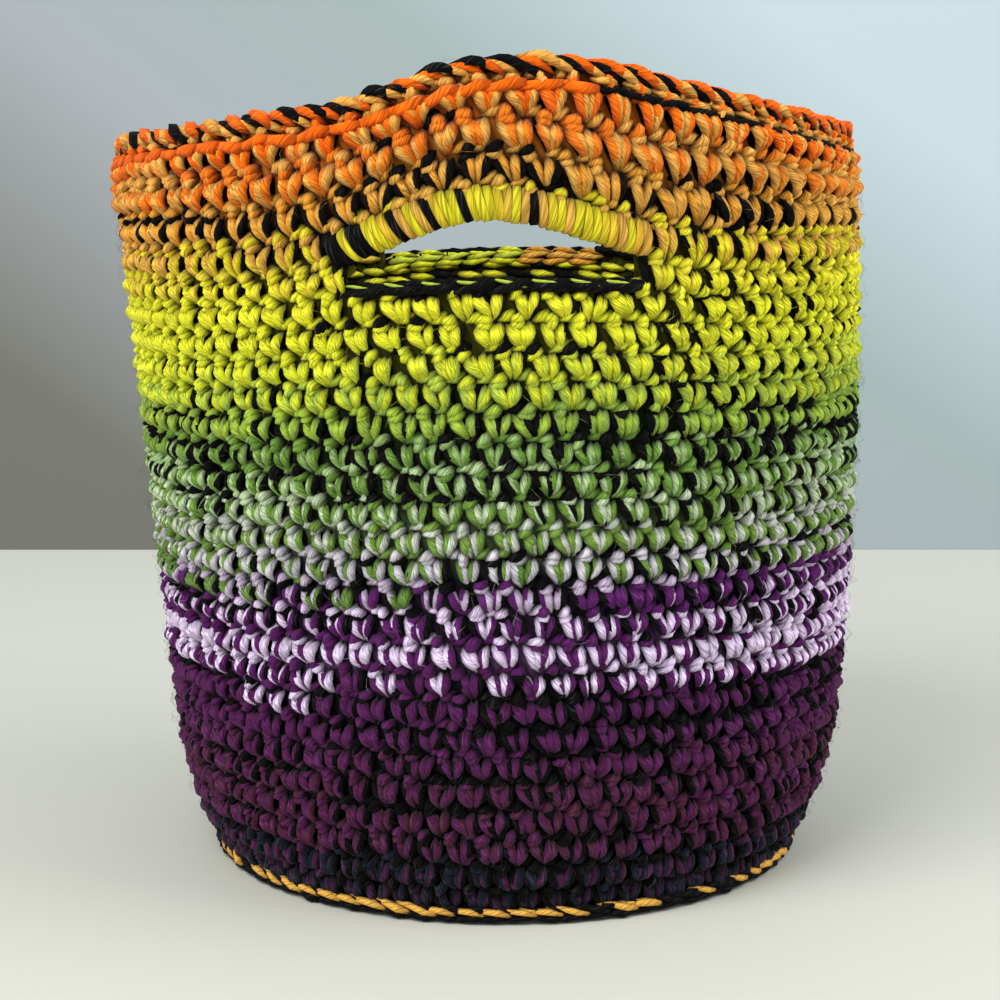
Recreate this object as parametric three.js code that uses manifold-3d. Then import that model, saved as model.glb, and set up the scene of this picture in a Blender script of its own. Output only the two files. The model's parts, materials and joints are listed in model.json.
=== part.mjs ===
// A round crochet tote bag, worked in one piece from three yarns held together.
// A flat round base turns up into a wall of single crochet rounds. A hand slot on the front and one on the
// back are bridged by a band worked over a chain, which lifts the rim into an arch over each slot.
// Millimetres, +Z up. The origin is the centre of the base on the surface the bag stands on, and the slots
// face -Y and +Y. Angles along the wall are measured from the middle of the nearer slot.
import * as THREE from "three";
import { mergeVertices } from "three/addons/utils/BufferGeometryUtils.js";
import Module from "manifold-3d";

const wasm = await Module();
wasm.setup();

// Gauge of the fabric
const STITCHES_PER_ROUND = 78;
const WALL_ROUNDS = 26;
const FIRST_ROUND_HEIGHT = 14; // middle of the lowest round of the wall
const STITCH_DRIFT = 0.25; // stitches that each round leans past the one below
const STITCH_RELIEF = 2.4; // crest of a stitch above the grooves around it
const WALL_THICKNESS = 7; // crest of a stitch to the inside of the wall

// Profile of the wall: radius of the stitch crests, and the height where it is measured
const BASE_EDGE_RADIUS = 107.5;
const BASE_EDGE_HEIGHT = 3;
const HEEL_RADIUS = 117;
const HEEL_HEIGHT = 28;
const BELLY_RADIUS = 124.5;
const BELLY_HEIGHT = 110;
const SHOULDER_RADIUS = 130;
const SHOULDER_HEIGHT = 218;
const RIM_RADIUS = 128.5;
const WALL_HEIGHT = 243.5; // top of the last round, away from the handles

// Slouch of the soft wall
const SWAY = 12; // sideways bow of the wall
const SWAY_RETURN_HEIGHT = 178; // where the bowed wall is back over the base
const SIDE_RISE = 3.3; // how much the +X side stands taller than the middle

// Base
const BASE_THICKNESS = 7;
const BASE_ROUNDS = 13;
const BASE_RELIEF = 1.4;
const FOOT_RADIUS = 105.5; // flat underside
const WELT_REACH = 3; // chain round the base edge, proud of the wall
const WELT_HEIGHT = 3.6; // its middle above the floor

// Rim braid
const BRAID_WIDTH = 8.4;
const BRAID_HEIGHT = 8; // its ridge above the wall
const BRAID_EDGE_HEIGHT = 3.5;

// Hand slots
const SLOT_WIDTH = 92;
const SLOT_SILL_ROUND = 20.5; // the slot opens above this round line
const SLOT_HEAD_ROUND = 21.5; // and the handle band starts at this one
const SILL_LIFT = 6; // rise of the sill at the middle of the slot
const SILL_SPREAD = 38; // degrees along the wall over which that rise fades
const BAND_LIFT = 19;
const BAND_SPREAD = 20;
const RIM_LIFT = 24;
const RIM_SPREAD = 52;
const ARCH_SHARE = 0.5; // part of the rim's rise that is the handle's own arch
const ARCH_SPREAD_LEFT = 13; // seen from outside the arch is steep on its left
const ARCH_SPREAD_RIGHT = 44; // and gentle on its right
const BAND_DIAMETER = 10.4; // stitches wrapped over the chain
const LIP_DIAMETER = 8; // chain along the sill
const ROLL_OVERLAP = 8; // length of band and lip worked into the wall past the slot
const ROLL_END_DIAMETER = 4; // where they are lost in the wall

// Facets
const INSIDE_COLUMNS = 36;
const FLOOR_COLUMNS = 20; // at the edge of the floor, fewer towards its middle
const LEAST_COLUMNS = 6;
const PROFILE_STEPS = 200;
const MERGE_DISTANCE = 0.001;
const ROLL_FACETS = 6;
const ROLL_STEPS = 8;

const YARN_COLOR = 0x6f5a3c; // the gradient's mean under the black strand

const TURN = 2 * Math.PI;
const RIM_ROUND = WALL_ROUNDS - 0.5; // round line on top of the wall
const ROUND_HEIGHT = (WALL_HEIGHT - FIRST_ROUND_HEIGHT) / RIM_ROUND;
const SLOT_ANGLE = Math.asin(SLOT_WIDTH / 2 / SHOULDER_RADIUS);
const INSIDE_ROUNDS = [RIM_ROUND, 23.5, SLOT_HEAD_ROUND, SLOT_SILL_ROUND, 13, 5, 2, 0]; // from the rim down

const profile = new THREE.SplineCurve([
  new THREE.Vector2(BASE_EDGE_RADIUS, BASE_EDGE_HEIGHT),
  new THREE.Vector2(HEEL_RADIUS, HEEL_HEIGHT),
  new THREE.Vector2(BELLY_RADIUS, BELLY_HEIGHT),
  new THREE.Vector2(SHOULDER_RADIUS, SHOULDER_HEIGHT),
  new THREE.Vector2(RIM_RADIUS, WALL_HEIGHT),
]);
const profilePoints = profile.getPoints(PROFILE_STEPS);

// Radius of the stitch crests at a height before the handles lift it.
function crestRadius(height) {
  const last = profilePoints.length - 1;
  if (height <= profilePoints[0].y) return profilePoints[0].x;
  if (height >= profilePoints[last].y) return profilePoints[last].x;
  const upper = profilePoints.findIndex((p) => p.y >= height);
  const a = profilePoints[upper - 1];
  const b = profilePoints[upper];
  return THREE.MathUtils.mapLinear(height, a.y, b.y, a.x, b.x);
}

// Height of a round line away from the handles. Line 0 is the middle of the lowest round.
function plainHeight(round) {
  return FIRST_ROUND_HEIGHT + ROUND_HEIGHT * round;
}

// Angle from the middle of the nearer slot, in degrees. The slots are at -90 and +90 degrees from +X.
function degreesFromSlot(angle) {
  return THREE.MathUtils.radToDeg(THREE.MathUtils.euclideanModulo(angle, Math.PI) - Math.PI / 2);
}

// How far the handles lift a round line at an angle: a little at the sill, most at the rim.
function handleLift(round, angle) {
  const degrees = degreesFromSlot(angle);
  const bell = (spread) => Math.exp(-((degrees / spread) ** 2));
  const share = (from, to) => THREE.MathUtils.clamp((round - from) / (to - from), 0, 1);
  const sill = SILL_LIFT * bell(SILL_SPREAD) * share(0, SLOT_SILL_ROUND);
  const band = BAND_LIFT * bell(BAND_SPREAD);
  const ownArch = bell(degrees < 0 ? ARCH_SPREAD_LEFT : ARCH_SPREAD_RIGHT);
  const rim = RIM_LIFT * THREE.MathUtils.lerp(bell(RIM_SPREAD), ownArch, ARCH_SHARE);
  const above = THREE.MathUtils.lerp(band, rim, share(SLOT_HEAD_ROUND, RIM_ROUND));
  return THREE.MathUtils.lerp(sill, above, share(SLOT_SILL_ROUND, SLOT_HEAD_ROUND));
}

// A point of the soft wall, with its slouch.
function slouched(radius, height, angle) {
  const sway = (SWAY * height * (1 - height / SWAY_RETURN_HEIGHT)) / WALL_HEIGHT;
  const rise = (SIDE_RISE * Math.cos(angle) * height) / WALL_HEIGHT;
  return new THREE.Vector3(radius * Math.cos(angle) + sway, radius * Math.sin(angle), height + rise);
}

// A point on a round line of the wall, a depth behind the stitch crests.
function wallPoint(round, angle, depth) {
  const plain = plainHeight(round);
  return slouched(crestRadius(plain) - depth, plain + handleLift(round, angle), angle);
}

// A closed ring of points, with its phase in steps.
function ring(count, phase, pointAt) {
  return Array.from({ length: count }, (_, i) => pointAt((TURN * (i + phase)) / count));
}

// Triangles of one closed skin, from rings of points.
class Skin {
  constructor() {
    this.corners = [];
  }

  triangle(a, b, c) {
    this.corners.push(a.x, a.y, a.z, b.x, b.y, b.z, c.x, c.y, c.z);
  }

  // Joins two rings that may differ in count. Seen from outside, the second ring lies above the first.
  bridge(lower, upper) {
    const angleOf = (points, i) => i / points.length;
    let i = 0;
    let j = 0;
    while (i < lower.length || j < upper.length) {
      const a = lower[i % lower.length];
      const b = upper[j % upper.length];
      if (j >= upper.length || (i < lower.length && angleOf(lower, i + 1) <= angleOf(upper, j + 1))) {
        this.triangle(a, lower[(i + 1) % lower.length], b);
        i += 1;
      } else {
        this.triangle(a, upper[(j + 1) % upper.length], b);
        j += 1;
      }
    }
  }

  // One round of stitches: each is a low pyramid between four groove corners.
  stitchRound(lower, crests, upper) {
    crests.forEach((crest, i) => {
      const next = (i + 1) % crests.length;
      this.triangle(lower[i], lower[next], crest);
      this.triangle(lower[next], upper[next], crest);
      this.triangle(upper[next], upper[i], crest);
      this.triangle(upper[i], lower[i], crest);
    });
  }

  // Closes a ring with a fan to its middle.
  fan(points, middle, facesUp) {
    points.forEach((p, i) => {
      const next = points[(i + 1) % points.length];
      if (facesUp) this.triangle(p, next, middle);
      else this.triangle(next, p, middle);
    });
  }

  solid() {
    const geometry = new THREE.BufferGeometry();
    geometry.setAttribute("position", new THREE.Float32BufferAttribute(this.corners, 3));
    return toSolid(geometry);
  }
}

// A closed three.js geometry as a solid that can be joined and cut.
function toSolid(geometry) {
  geometry.deleteAttribute("normal");
  geometry.deleteAttribute("uv");
  const merged = mergeVertices(geometry, MERGE_DISTANCE);
  return new wasm.Manifold(
    new wasm.Mesh({
      numProp: 3,
      vertProperties: merged.attributes.position.array,
      triVerts: new Uint32Array(merged.index.array),
    }),
  );
}

// Underside, wall, rim and inside of the bag as one skin, before the slots are cut.
function bagSkin() {
  const skin = new Skin();

  // Flat underside, then the welt round its edge
  const phaseOf = (round) => STITCH_DRIFT * round;
  const wallRing = (round, phase, depth) =>
    ring(STITCHES_PER_ROUND, phase, (angle) => wallPoint(round, angle, depth));
  const foot = ring(STITCHES_PER_ROUND, phaseOf(-1), (angle) => slouched(FOOT_RADIUS, 0, angle));
  skin.fan(foot, slouched(0, 0, 0), false);
  const welt = ring(STITCHES_PER_ROUND, phaseOf(-1), (angle) =>
    slouched(BASE_EDGE_RADIUS + WELT_REACH, WELT_HEIGHT, angle),
  );
  skin.bridge(foot, welt);

  // Rounds of stitches up to the rim
  let groove = wallRing(-0.5, phaseOf(-0.5), STITCH_RELIEF);
  skin.bridge(welt, groove);
  for (let round = 0; round < WALL_ROUNDS; round += 1) {
    const upper = wallRing(round + 0.5, phaseOf(round + 0.5), STITCH_RELIEF);
    skin.stitchRound(groove, wallRing(round, phaseOf(round) + 0.5, 0), upper);
    groove = upper;
  }

  // Braid over the rim: outer edge, ridge and inner edge, the ridge half a stitch out of step
  const braidRing = (outward, upward, phase) =>
    ring(STITCHES_PER_ROUND, phaseOf(RIM_ROUND) + phase, (angle) => {
      const plain = plainHeight(RIM_ROUND);
      const radius = crestRadius(plain) - WALL_THICKNESS / 2 + outward;
      return slouched(radius, plain + handleLift(RIM_ROUND, angle) + upward, angle);
    });
  const braidOuter = braidRing(BRAID_WIDTH / 2, BRAID_EDGE_HEIGHT, 0);
  const braidRidge = braidRing(0, BRAID_HEIGHT, 0.5);
  const braidInner = braidRing(-BRAID_WIDTH / 2, BRAID_EDGE_HEIGHT, 0);
  skin.bridge(groove, braidOuter);
  skin.bridge(braidOuter, braidRidge);
  skin.bridge(braidRidge, braidInner);

  // Plain inside of the wall, down to the floor, its rings starting under the first stitch of the rim
  const inStep = (columns) => (phaseOf(RIM_ROUND) * columns) / STITCHES_PER_ROUND;
  let last = braidInner;
  INSIDE_ROUNDS.forEach((round) => {
    const next = ring(INSIDE_COLUMNS, inStep(INSIDE_COLUMNS), (angle) =>
      wallPoint(round, angle, WALL_THICKNESS),
    );
    skin.bridge(last, next);
    last = next;
  });

  // Rounds of the base as ridges on the floor
  const floorRadius = crestRadius(plainHeight(0)) - WALL_THICKNESS;
  const ridges = 2 * BASE_ROUNDS;
  for (let line = 1; line < ridges; line += 1) {
    const radius = floorRadius * (1 - line / ridges);
    const height = BASE_THICKNESS - (line % 2 ? BASE_RELIEF : 0);
    const columns = Math.max(LEAST_COLUMNS, Math.round((FLOOR_COLUMNS * radius) / floorRadius));
    const next = ring(columns, inStep(columns), (angle) => slouched(radius, height, angle));
    skin.bridge(last, next);
    last = next;
  }
  skin.fan(last, slouched(0, BASE_THICKNESS, 0), true);
  return skin.solid();
}

// Cutter for one slot, from the sill up to the handle band, through the wall at side -1 (front) or 1 (back).
function slotCutter(side) {
  const angles = Array.from({ length: ROLL_STEPS + 1 }, (_, i) =>
    THREE.MathUtils.lerp(-SLOT_ANGLE, SLOT_ANGLE, i / ROLL_STEPS),
  );
  const facing = (side * Math.PI) / 2;
  const edge = (round) => angles.map((a) => wallPoint(round, facing + a, WALL_THICKNESS / 2));
  const outline = [...edge(SLOT_SILL_ROUND), ...edge(SLOT_HEAD_ROUND).reverse()];
  const shape = new THREE.Shape(outline.map((p) => new THREE.Vector2(p.x, p.z)));
  const geometry = new THREE.ExtrudeGeometry(shape, { depth: SHOULDER_RADIUS, bevelEnabled: false });
  geometry.rotateX(Math.PI / 2);
  if (side > 0) geometry.translate(0, SHOULDER_RADIUS * 1.5, 0);
  else geometry.translate(0, -SHOULDER_RADIUS / 2, 0);
  return toSolid(geometry);
}

// A roll of yarn along a round line over one slot, thinning into the wall at both ends.
function slotRoll(side, round, diameter) {
  const skin = new Skin();
  const facing = (side * Math.PI) / 2;
  const reach = SLOT_ANGLE + ROLL_OVERLAP / SHOULDER_RADIUS;
  const section = (step) => {
    const angle = facing + THREE.MathUtils.lerp(-reach, reach, step / ROLL_STEPS);
    const middle = wallPoint(round, angle, WALL_THICKNESS / 2);
    const atEnd = step === 0 || step === ROLL_STEPS;
    const radius = (atEnd ? ROLL_END_DIAMETER : diameter) / 2;
    const outward = new THREE.Vector3(Math.cos(angle), Math.sin(angle), 0);
    return ring(ROLL_FACETS, 0, (turn) =>
      middle
        .clone()
        .addScaledVector(outward, radius * Math.sin(turn))
        .add(new THREE.Vector3(0, 0, radius * Math.cos(turn))),
    );
  };
  for (let step = 0; step < ROLL_STEPS; step += 1) skin.bridge(section(step), section(step + 1));
  const start = section(0);
  const end = section(ROLL_STEPS);
  const middleOf = (points) =>
    points.reduce((sum, p) => sum.add(p), new THREE.Vector3()).divideScalar(points.length);
  skin.fan(start, middleOf(start), false);
  skin.fan(end, middleOf(end), true);
  return skin.solid();
}

function bagSolid() {
  let bag = bagSkin();
  for (const side of [-1, 1]) {
    bag = bag
      .subtract(slotCutter(side))
      .add(slotRoll(side, SLOT_HEAD_ROUND + 0.5, BAND_DIAMETER))
      .add(slotRoll(side, SLOT_SILL_ROUND, LIP_DIAMETER));
  }
  return bag;
}

// The finished solid as a named three.js mesh.
function meshOf(name, solid, material) {
  const { vertProperties, triVerts, numProp } = solid.getMesh();
  const positions = new Float32Array((vertProperties.length / numProp) * 3);
  for (let i = 0; i < positions.length / 3; i += 1) {
    positions.set(vertProperties.subarray(i * numProp, i * numProp + 3), i * 3);
  }
  const geometry = new THREE.BufferGeometry();
  geometry.setAttribute("position", new THREE.BufferAttribute(positions, 3));
  geometry.setIndex(new THREE.BufferAttribute(new Uint32Array(triVerts), 1));
  geometry.computeVertexNormals();
  const mesh = new THREE.Mesh(geometry, material);
  mesh.name = name;
  return mesh;
}

const yarn = new THREE.MeshStandardMaterial({ color: YARN_COLOR, roughness: 0.95, metalness: 0 });

const toteBag = new THREE.Group();
toteBag.name = "tote_bag";
toteBag.add(meshOf("crochet_bag", bagSolid(), yarn));

export default toteBag;
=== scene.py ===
"""A round crochet tote bag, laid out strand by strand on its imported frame.

Every visible stretch of yarn, from where it comes out of the fabric to where it goes back in, is one short
tapered strand. A stitch is a V of two legs under a slanted top loop, each holding three strands.
Metres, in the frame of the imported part: +Z up, the hand slots at -Y and +Y.
"""

import json
import math

import bpy
import numpy as np
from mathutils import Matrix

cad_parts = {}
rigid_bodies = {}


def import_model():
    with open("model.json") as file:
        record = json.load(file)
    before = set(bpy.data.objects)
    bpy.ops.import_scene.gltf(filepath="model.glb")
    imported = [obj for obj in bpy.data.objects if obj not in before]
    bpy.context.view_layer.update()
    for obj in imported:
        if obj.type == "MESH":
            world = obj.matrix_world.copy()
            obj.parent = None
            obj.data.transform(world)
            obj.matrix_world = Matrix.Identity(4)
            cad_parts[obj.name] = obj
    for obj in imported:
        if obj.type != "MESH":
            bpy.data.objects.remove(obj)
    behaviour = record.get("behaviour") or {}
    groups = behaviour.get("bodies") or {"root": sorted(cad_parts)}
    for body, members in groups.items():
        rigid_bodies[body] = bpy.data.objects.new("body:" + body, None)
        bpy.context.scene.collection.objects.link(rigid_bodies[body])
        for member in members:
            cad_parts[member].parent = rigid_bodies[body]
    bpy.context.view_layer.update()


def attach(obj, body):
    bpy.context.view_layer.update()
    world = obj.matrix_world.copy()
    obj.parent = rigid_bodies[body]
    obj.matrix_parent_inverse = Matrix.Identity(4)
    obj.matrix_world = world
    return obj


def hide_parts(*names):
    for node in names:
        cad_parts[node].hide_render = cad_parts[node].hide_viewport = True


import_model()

MM = 0.001
TURN = 2 * math.pi

# Gauge and shape of the bag, as in the part
STITCHES_PER_ROUND = 78
WALL_ROUNDS = 26
STITCH_DRIFT = 0.25
FIRST_ROUND_HEIGHT = 14 * MM
WALL_HEIGHT = 243.5 * MM
WALL_THICKNESS = 7 * MM
PROFILE_RADII = np.array([107.5, 117, 124.5, 130, 128.5]) * MM
PROFILE_HEIGHTS = np.array([3, 28, 110, 218, 243.5]) * MM
SWAY = 12 * MM
SWAY_RETURN_HEIGHT = 178 * MM
SIDE_RISE = 3.3 * MM
BASE_ROUNDS = 13
BASE_THICKNESS = 7 * MM
SLOT_WIDTH = 92 * MM
SILL_ROUND = 20.5
HEAD_ROUND = 21.5
SILL_LIFT, SILL_SPREAD = 6 * MM, 38
BAND_LIFT, BAND_SPREAD = 19 * MM, 20
RIM_LIFT, RIM_SPREAD = 24 * MM, 52
ARCH_SHARE = 0.5
ARCH_SPREAD_LEFT, ARCH_SPREAD_RIGHT = 13, 44
BAND_DIAMETER = 12.0 * MM

# How the soft bag stands, beyond the shape of the part
FOOT_OVAL = 0.048  # the foot spreads to the front and back
FOOT_OVAL_HEIGHT = 42 * MM
FOOT_SHIFT = 3.0 * MM  # and stands a little to the right of the bag's middle
FOOT_SHIFT_HEIGHT = 130 * MM
LEFT_STRETCH, LEFT_STRETCH_AT, LEFT_STRETCH_SPREAD = 2.6 * MM, -62, 36  # the rim is higher to the left
PEAK_STRETCH, PEAK_STRETCH_AT, PEAK_STRETCH_SPREAD = 2.0 * MM, 16, 10  # and by its peak

RIM_ROUND = WALL_ROUNDS - 0.5
ROUND_HEIGHT = (WALL_HEIGHT - FIRST_ROUND_HEIGHT) / RIM_ROUND
STITCH_ANGLE = TURN / STITCHES_PER_ROUND
SLOT_ANGLE = math.asin(SLOT_WIDTH / 2 / PROFILE_RADII[3])
FRONT, BACK = -math.pi / 2, math.pi / 2

# Yarn
STRAND = 2.9 * MM  # worsted strand, lightly squeezed
YARN_LEVEL = 3.0 * MM  # depth of the fabric's face behind the highest strands
COLOUR_ONE, COLOUR_TWO, BLACK = 0, 1, 2

rng = np.random.default_rng(41)


# The soft wall


def crest_profile(steps=40):
    """Radius and height of the stitch crests, on a curve through the profile's points."""
    points = np.stack([PROFILE_RADII, PROFILE_HEIGHTS], axis=1)
    last = len(points) - 1
    t = np.linspace(0, 1, steps, endpoint=False)[:, None]
    curve = []
    for i in range(last):
        before, start, end, after = (points[min(max(j, 0), last)] for j in range(i - 1, i + 3))
        leave, arrive = (end - before) / 2, (after - start) / 2
        cubic = 2 * start - 2 * end + leave + arrive
        square = 3 * end - 3 * start - 2 * leave - arrive
        curve.append(cubic * t**3 + square * t**2 + leave * t + start)
    return np.vstack(curve + [points[-1:]])


CREST = crest_profile()


def plain_height(rounds):
    """Height of a round line away from the handles. Line 0 is the middle of the lowest round."""
    return FIRST_ROUND_HEIGHT + ROUND_HEIGHT * rounds


def degrees_from_slot(angle):
    """Angle from the middle of the nearer slot, positive to the right seen from outside."""
    return np.degrees(np.mod(angle, math.pi) - math.pi / 2)


def right_of_front(angle):
    """Angle to the right of the front, in radians from -pi to pi."""
    return np.mod(angle - FRONT + math.pi, TURN) - math.pi


def bell(degrees, spread):
    return np.exp(-((degrees / spread) ** 2))


def handle_lift(rounds, angle):
    """How far the handles lift a round line: a little at the sill, most at the rim."""
    degrees = degrees_from_slot(angle)
    right = np.degrees(right_of_front(angle))

    def share(start, end):
        return np.clip((rounds - start) / (end - start), 0, 1)

    sill = SILL_LIFT * bell(degrees, SILL_SPREAD) * share(0, SILL_ROUND)
    band = BAND_LIFT * bell(degrees, BAND_SPREAD)
    own_arch = bell(degrees, np.where(degrees < 0, ARCH_SPREAD_LEFT, ARCH_SPREAD_RIGHT))
    rim = RIM_LIFT * ((1 - ARCH_SHARE) * bell(degrees, RIM_SPREAD) + ARCH_SHARE * own_arch)
    above = band + (rim - band) * share(HEAD_ROUND, RIM_ROUND)
    left = LEFT_STRETCH * bell(right - LEFT_STRETCH_AT, LEFT_STRETCH_SPREAD)
    peak = PEAK_STRETCH * bell(right - PEAK_STRETCH_AT, PEAK_STRETCH_SPREAD)
    stretch = left * share(HEAD_ROUND + 1, RIM_ROUND) + peak * share(RIM_ROUND - 1, RIM_ROUND)
    return sill + (above - sill) * share(SILL_ROUND, HEAD_ROUND) + stretch


def slouched(radius, height, angle):
    """A point of the soft bag, bowed sideways and a little taller on its +X side."""
    sway = SWAY * height * (1 - height / SWAY_RETURN_HEIGHT) / WALL_HEIGHT
    rise = SIDE_RISE * np.cos(angle) * height / WALL_HEIGHT
    oval = FOOT_OVAL * np.clip(1 - height / FOOT_OVAL_HEIGHT, 0, 1)
    shift = FOOT_SHIFT * np.clip(1 - height / FOOT_SHIFT_HEIGHT, 0, 1)
    x = radius * (1 - oval) * np.cos(angle) + sway + shift
    y = radius * (1 + oval) * np.sin(angle)
    x, y, z = np.broadcast_arrays(x, y, height + rise)
    return np.stack([x, y, z], axis=-1)


def wall(rounds, angle, depth):
    """A point on a round line, a depth behind the stitch crests."""
    plain = plain_height(rounds)
    radius = np.interp(plain, CREST[:, 1], CREST[:, 0]) - depth
    return slouched(radius, plain + handle_lift(rounds, angle), angle)


UP = np.array([0, 0, 1.0])


def unit(vectors):
    return vectors / np.linalg.norm(vectors, axis=-1, keepdims=True)


def flat_outward(angle, up=0.0):
    """Outward direction away from the bag's axis, with a little up."""
    return np.stack([np.cos(angle), np.sin(angle), np.full(len(angle), up)], axis=1)


def wall_outward(rounds, angle):
    """Outward direction of the wall."""
    step = 0.02
    along = wall(rounds, angle + step, 0) - wall(rounds, angle - step, 0)
    up = wall(rounds + step, angle, 0) - wall(rounds - step, angle, 0)
    return unit(np.cross(along, up))


def rim(angle, across, up):
    """A point of the rim braid: across is outward from the middle of the wall, up is above its top round."""
    plain = plain_height(RIM_ROUND)
    radius = np.interp(plain, CREST[:, 1], CREST[:, 0]) - WALL_THICKNESS / 2 + across
    return slouched(radius, plain + handle_lift(RIM_ROUND, angle) + up, angle)


# Stretches of strand


def stretches(start, end, outward, strand, place, girth, shape):
    """Strands from start to end, arching outward, at a place along the colour-changing yarn."""
    start, end, outward = np.broadcast_arrays(start, end, outward)
    count = start.reshape(-1, 3).shape[0]

    def flat(values, kind):
        return np.broadcast_to(values, start.shape[:-1]).reshape(count).astype(kind)

    return {
        "middle": ((start + end) / 2).reshape(-1, 3),
        "along": (end - start).reshape(-1, 3),
        "outward": outward.reshape(-1, 3),
        "strand": flat(strand, np.int32),
        "place": flat(place, np.float32),
        "girth": flat(girth, np.float32),
        "shape": flat(shape, np.int32),
    }


def gathered(parts):
    return {key: np.concatenate([part[key] for part in parts]) for key in parts[0]}


def chosen(part, mask):
    return {key: values[mask.reshape(-1)] for key, values in part.items()}


# Kinds of stretch: the number of its first shape, the sides and rings of its mesh, and how far each shape
# arches and bends aside, in strand widths
FINE = (0, 4, 5, [(0.95, 0.12), (0.95, -0.12), (1.1, 0.06), (0.82, -0.06)])
LOW = (4, 5, 4, [(0.32, 0.12), (0.32, -0.12)])
COARSE = (6, 4, 3, [(0.45, 0.06), (0.45, -0.06)])
HAIR = (8, 3, 3, [(16.0, 5.0), (10.0, -7.0), (22.0, 3.0)])
WRAP_SHAPE = 11
WRAP_WIDTH = 1.25  # of a strand, along the band
# Where the rings of a stretch lie along it, by their number
RING_PLACES = {
    3: (-0.42, 0.0, 0.42),
    4: (-0.42, -0.18, 0.18, 0.42),
    5: (-0.4, -0.13, 0.02, 0.16, 0.34),
}


def stretch_shape(name, rise, bend, sides, rings):
    """One stretch, one long and one strand thick, with a UV map along and round it. It narrows to its
    start and arches most past its middle."""
    at = np.array(RING_PLACES[rings])
    radius = 0.5 * np.cos(math.pi * at) ** 0.28 * np.clip(0.94 + 0.8 * at, 0, 1)
    arch = rise * np.cos(math.pi * at) * (1 + 0.5 * at)
    middle = np.stack([at, bend * np.sin(TURN * at), arch], axis=1)
    turn = TURN * np.arange(sides) / sides - math.pi / 2
    ring = np.stack([np.zeros(sides), np.cos(turn), np.sin(turn)], axis=1)
    points = (middle[:, None] + radius[:, None, None] * ring).reshape(-1, 3)
    points = np.vstack([points, [[-0.5, 0, 0], [0.5, 0, 0]]])
    tail, head = rings * sides, rings * sides + 1
    faces, uvs = [], []
    for j in range(sides):
        k = (j + 1) % sides
        low, high = j / sides, (j + 1) / sides
        faces.append((tail, k, j))
        uvs += [(0, low), (at[0] + 0.5, high), (at[0] + 0.5, low)]
        for r in range(rings - 1):
            a, b = r * sides, (r + 1) * sides
            faces.append((a + j, a + k, b + k, b + j))
            uvs += [(at[r] + 0.5, low), (at[r] + 0.5, high), (at[r + 1] + 0.5, high), (at[r + 1] + 0.5, low)]
        a = (rings - 1) * sides
        faces.append((head, a + j, a + k))
        uvs += [(1, low), (at[-1] + 0.5, low), (at[-1] + 0.5, high)]
    return shape_object(name, points, faces, uvs)


def wrap_shape(name, sides=5, steps=16):
    """A ring of strand in the YZ plane, for a wrap round the handle band, one band diameter across."""
    thick = STRAND / BAND_DIAMETER / 2
    swing = TURN * np.arange(steps) / steps
    turn = TURN * np.arange(sides) / sides + math.pi
    reach = (0.5 - thick) + thick * np.cos(turn)[None, :]
    points = np.stack(
        [
            np.broadcast_to(WRAP_WIDTH * thick * np.sin(turn), (steps, sides)),
            reach * np.cos(swing)[:, None],
            reach * np.sin(swing)[:, None],
        ],
        axis=-1,
    ).reshape(-1, 3)
    faces, uvs = [], []
    for s in range(steps):
        for j in range(sides):
            a, b, k = s * sides, (s + 1) % steps * sides, (j + 1) % sides
            faces.append((a + j, a + k, b + k, b + j))
            corners = [(s, j), (s, j + 1), (s + 1, j + 1), (s + 1, j)]
            uvs += [(along / steps, round_ / sides) for along, round_ in corners]
    return shape_object(name, points, faces, uvs)


def shape_object(name, points, faces, uvs):
    mesh = bpy.data.meshes.new(name)
    mesh.from_pydata(points.tolist(), [], faces)
    mesh.uv_layers.new(name="yarn_uv").data.foreach_set("uv", np.ravel(uvs))
    mesh.shade_smooth()
    return bpy.data.objects.new(name, mesh)


def stretch_shapes():
    """The collection of shapes that every strand is a copy of, in the order of their numbers."""
    shapes = bpy.data.collections.new("strand_shapes")
    for first, sides, rings, arches in (FINE, LOW, COARSE, HAIR):
        for number, (rise, bend) in enumerate(arches, first):
            shapes.objects.link(stretch_shape(f"shape_{number:02d}", rise, bend, sides, rings))
    shapes.objects.link(wrap_shape(f"shape_{WRAP_SHAPE}"))
    return shapes


def any_shape(kind, size):
    """One of the kind's shapes at random for every strand."""
    first, _, _, arches = kind
    return first + rng.integers(0, len(arches), size)


# Nodes

TIMES = {"operation": "MULTIPLY"}


def add(tree, kind, settings=None, inputs=None):
    """Adds a node with its settings, and sets or links its inputs. A node stands for its first output."""
    node = tree.nodes.new(kind)
    for name, value in (settings or {}).items():
        setattr(node, name, value)
    for socket, value in (inputs or {}).items():
        if isinstance(value, bpy.types.Node):
            value = value.outputs[0]
        if isinstance(value, bpy.types.NodeSocket):
            tree.links.new(value, node.inputs[socket])
        else:
            node.inputs[socket].default_value = value
    return node


def linear(hex_colour):
    """An sRGB hex colour as linear RGBA."""
    parts = [int(hex_colour[i : i + 2], 16) / 255 for i in (1, 3, 5)]
    return [c / 12.92 if c <= 0.04045 else ((c + 0.055) / 1.055) ** 2.4 for c in parts] + [1.0]


# Materials

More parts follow.
